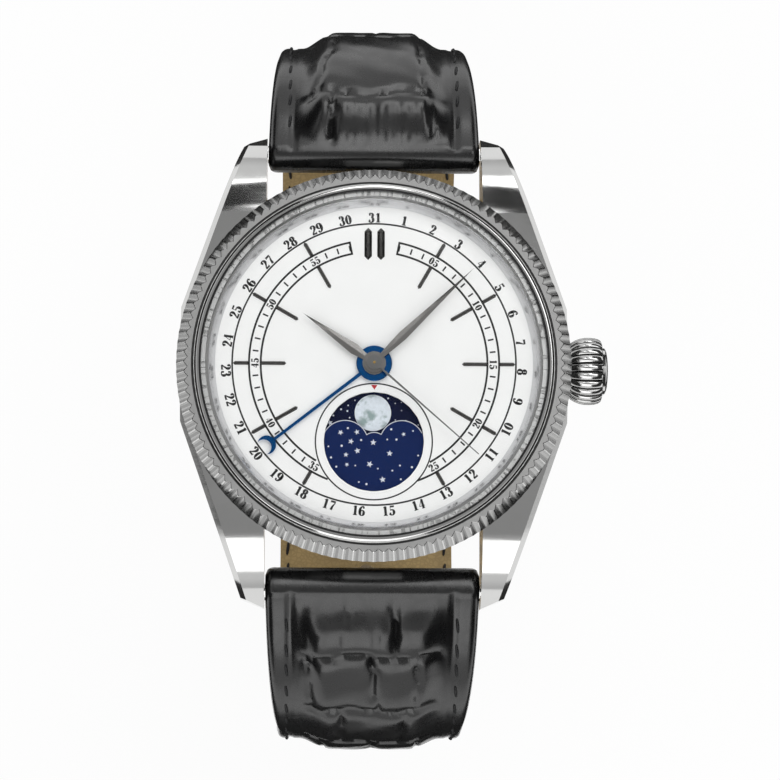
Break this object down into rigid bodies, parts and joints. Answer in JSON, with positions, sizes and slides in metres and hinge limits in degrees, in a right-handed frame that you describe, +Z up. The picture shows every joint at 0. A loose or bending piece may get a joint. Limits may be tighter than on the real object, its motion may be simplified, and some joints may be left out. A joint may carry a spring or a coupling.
{
  "type": "moon phase wristwatch",
  "caption": "Round steel wristwatch with a pleated bezel, date and moon phase dial, winding crown, rotor behind a glass back, and padded leather strap closed by a pin buckle.",
  "frame": {"origin": "centre of the case back's outer face", "axes": "+Z up through the dial to the crystal, +Y to 12 o'clock, +X to the crown at 3 o'clock"},
  "size_m": [0.044, 0.0772, 0.0589],
  "materials": {
    "case_steel": "satin tops, polished bevels",
    "polished_steel": "polished",
    "crystal_glass": "clear polished",
    "back_glass": "clear flat",
    "seal_rubber": "matt",
    "white_dial": "smooth satin white",
    "dark_steel": "polished dark",
    "blue_steel": "glossy blue",
    "night_blue": "glossy dark blue",
    "wheel_brass": "satin",
    "movement_steel": "polished",
    "spring_blue": "blued",
    "plated_plate": "nickel plated, straight graining",
    "ruby": "polished red stone",
    "rotor_metal": "gilt, brushed",
    "holder_plastic": "moulded",
    "black_leather": "glossy, large scale grain",
    "tan_leather": "matt nubuck"
  },
  "bodies": {
    "case": {"mid_case": "case_steel", "bezel": "polished_steel", "crystal": "crystal_glass", "crystal_gasket": "seal_rubber", "slope_ring": "polished_steel", "dial": "white_dial", "hour_marks": "dark_steel", "moon_cover": "night_blue", "main_plate": "plated_plate", "train_bridge": "plated_plate", "pallet_bridge": "plated_plate", "balance_cock": "plated_plate", "jewels": "ruby", "crown_tube": "polished_steel", "movement_holder": "holder_plastic", "case_back": "polished_steel", "back_gasket": "seal_rubber", "back_glass": "back_glass", "spring_bars": "polished_steel", "strap_short": "black_leather", "lining_short": "tan_leather", "strap_long": "black_leather", "lining_long": "tan_leather", "fixed_keeper": "black_leather", "buckle_bar": "polished_steel"},
    "seconds": {"seconds_wheel": "wheel_brass", "second_hand": "dark_steel"},
    "third": {"third_wheel": "wheel_brass"},
    "centre": {"centre_wheel": "wheel_brass"},
    "great": {"great_wheel": "wheel_brass"},
    "barrel": {"barrel": "wheel_brass"},
    "escape": {"escape_wheel": "movement_steel"},
    "minutes": {"cannon_pinion": "movement_steel", "minute_hand": "dark_steel"},
    "minute_wheel": {"minute_wheel": "wheel_brass"},
    "hours": {"hour_wheel": "wheel_brass", "hour_hand": "dark_steel"},
    "pallets": {"pallet_fork": "movement_steel"},
    "balance": {"balance_wheel": "wheel_brass", "hairspring": "spring_blue"},
    "date": {"date_wheel": "wheel_brass", "date_hand": "blue_steel"},
    "moon": {"moon_disc": "night_blue"},
    "rotor": {"rotor": "rotor_metal"},
    "winding": {"winding_pinion": "movement_steel"},
    "crown": {"crown": "polished_steel", "winding_stem": "polished_steel", "crown_gasket": "seal_rubber"},
    "clutch": {"clutch_wheel": "movement_steel"},
    "crown_wheel": {"crown_wheel": "movement_steel"},
    "ratchet": {"ratchet_wheel": "movement_steel", "barrel_arbor": "movement_steel"},
    "date_corrector": {"date_corrector": "polished_steel"},
    "moon_corrector": {"moon_corrector": "polished_steel"},
    "buckle": {"buckle_frame": "polished_steel"},
    "tongue": {"buckle_tongue": "polished_steel"},
    "keeper": {"free_keeper": "black_leather"}
  },
  "joints": [
    {"name": "seconds_turn", "type": "hinge", "parent": "case", "child": "seconds", "pos_m": [0, 0, 0.005], "axis": [0, 0, -1], "continuous": true},
    {"name": "third_turn", "type": "hinge", "parent": "case", "child": "third", "pos_m": [-0.00201, 0.00287, 0.005], "axis": [0, 0, -1], "continuous": true},
    {"name": "centre_turn", "type": "hinge", "parent": "case", "child": "centre", "pos_m": [0, 0, 0.005], "axis": [0, 0, -1], "continuous": true},
    {"name": "great_turn", "type": "hinge", "parent": "case", "child": "great", "pos_m": [0.00111, 0.00447, 0.005], "axis": [0, 0, -1], "continuous": true},
    {"name": "barrel_turn", "type": "hinge", "parent": "case", "child": "barrel", "pos_m": [0.00585, 0.00589, 0.005], "axis": [0, 0, -1], "continuous": true},
    {"name": "escape_turn", "type": "hinge", "parent": "case", "child": "escape", "pos_m": [-0.00329, -0.00153, 0.005], "axis": [0, 0, -1], "continuous": true},
    {"name": "minute_turn", "type": "hinge", "parent": "case", "child": "minutes", "pos_m": [0, 0, 0.0075], "axis": [0, 0, -1], "continuous": true},
    {"name": "minute_wheel_turn", "type": "hinge", "parent": "case", "child": "minute_wheel", "pos_m": [0.0018, 0.00312, 0.0075], "axis": [0, 0, -1], "continuous": true},
    {"name": "hour_turn", "type": "hinge", "parent": "case", "child": "hours", "pos_m": [0, 0, 0.0075], "axis": [0, 0, -1], "continuous": true},
    {"name": "pallet_rock", "type": "hinge", "parent": "case", "child": "pallets", "pos_m": [-0.00594, -0.00149, 0.005], "axis": [0, 0, 1], "range_deg": [-5, 5]},
    {"name": "balance_swing", "type": "hinge", "parent": "case", "child": "balance", "pos_m": [-0.00827, -0.00146, 0.005], "axis": [0, 0, 1], "range_deg": [-135, 135], "stiffness_Nm_per_rad": 0.0000005, "deforming": ["hairspring"]},
    {"name": "date_turn", "type": "hinge", "parent": "case", "child": "date", "pos_m": [0, 0, 0.0078], "axis": [0, 0, -1], "continuous": true},
    {"name": "moon_turn", "type": "hinge", "parent": "case", "child": "moon", "pos_m": [0, -0.0079, 0.008], "axis": [0, 0, -1], "continuous": true},
    {"name": "rotor_turn", "type": "hinge", "parent": "case", "child": "rotor", "pos_m": [0, 0, 0.0018], "axis": [0, 0, -1], "continuous": true},
    {"name": "crown_turn", "type": "hinge", "parent": "case", "child": "winding", "pos_m": [0.02, 0, 0.0039], "axis": [1, 0, 0], "continuous": true},
    {"name": "crown_pull", "type": "slide", "parent": "winding", "child": "crown", "axis": [1, 0, 0], "range_m": [0, 0.0012]},
    {"name": "clutch_shift", "type": "slide", "parent": "winding", "child": "clutch", "axis": [1, 0, 0], "range_m": [-0.00072, 0]},
    {"name": "crown_wheel_turn", "type": "hinge", "parent": "case", "child": "crown_wheel", "pos_m": [0.0073, 0, 0.0022], "axis": [0, 0, 1], "continuous": true},
    {"name": "ratchet_turn", "type": "hinge", "parent": "case", "child": "ratchet", "pos_m": [0.00585, 0.00589, 0.0022], "axis": [0, 0, 1], "continuous": true},
    {"name": "date_push", "type": "slide", "parent": "case", "child": "date_corrector", "axis": [-1, 0, 0], "range_m": [0, 0.0006], "stiffness_N_per_m": 200},
    {"name": "moon_push", "type": "slide", "parent": "case", "child": "moon_corrector", "axis": [1, 0, 0], "range_m": [0, 0.0006], "stiffness_N_per_m": 200},
    {"name": "buckle_tilt", "type": "hinge", "parent": "case", "child": "buckle", "pos_m": [0, 0.001, -0.041], "axis": [1, 0, 0], "range_deg": [0, 6]},
    {"name": "tongue_lift", "type": "hinge", "parent": "buckle", "child": "tongue", "pos_m": [0, 0.001, -0.041], "axis": [1, 0, 0], "range_deg": [0, 4]},
    {"name": "keeper_slide", "type": "hinge", "parent": "case", "child": "keeper", "pos_m": [0, 0.0088, -0.014], "axis": [1, 0, 0], "range_deg": [-5, 5]}
  ],
  "couplings": [
    {"joint": "third_turn", "follows": "seconds_turn", "ratio": -0.125},
    {"joint": "centre_turn", "follows": "seconds_turn", "ratio": 0.016667},
    {"joint": "great_turn", "follows": "seconds_turn", "ratio": 0.016667},
    {"joint": "barrel_turn", "follows": "seconds_turn", "ratio": -0.0020833},
    {"joint": "escape_turn", "follows": "seconds_turn", "ratio": -10},
    {"joint": "minute_turn", "follows": "seconds_turn", "ratio": 0.016667},
    {"joint": "minute_wheel_turn", "follows": "seconds_turn", "ratio": -0.0055556},
    {"joint": "hour_turn", "follows": "seconds_turn", "ratio": 0.0013889},
    {"joint": "clutch_shift", "follows": "crown_pull", "ratio": -0.6},
    {"joint": "crown_wheel_turn", "follows": "crown_turn", "ratio": 0.5},
    {"joint": "ratchet_turn", "follows": "crown_turn", "ratio": -0.34286}
  ]
}
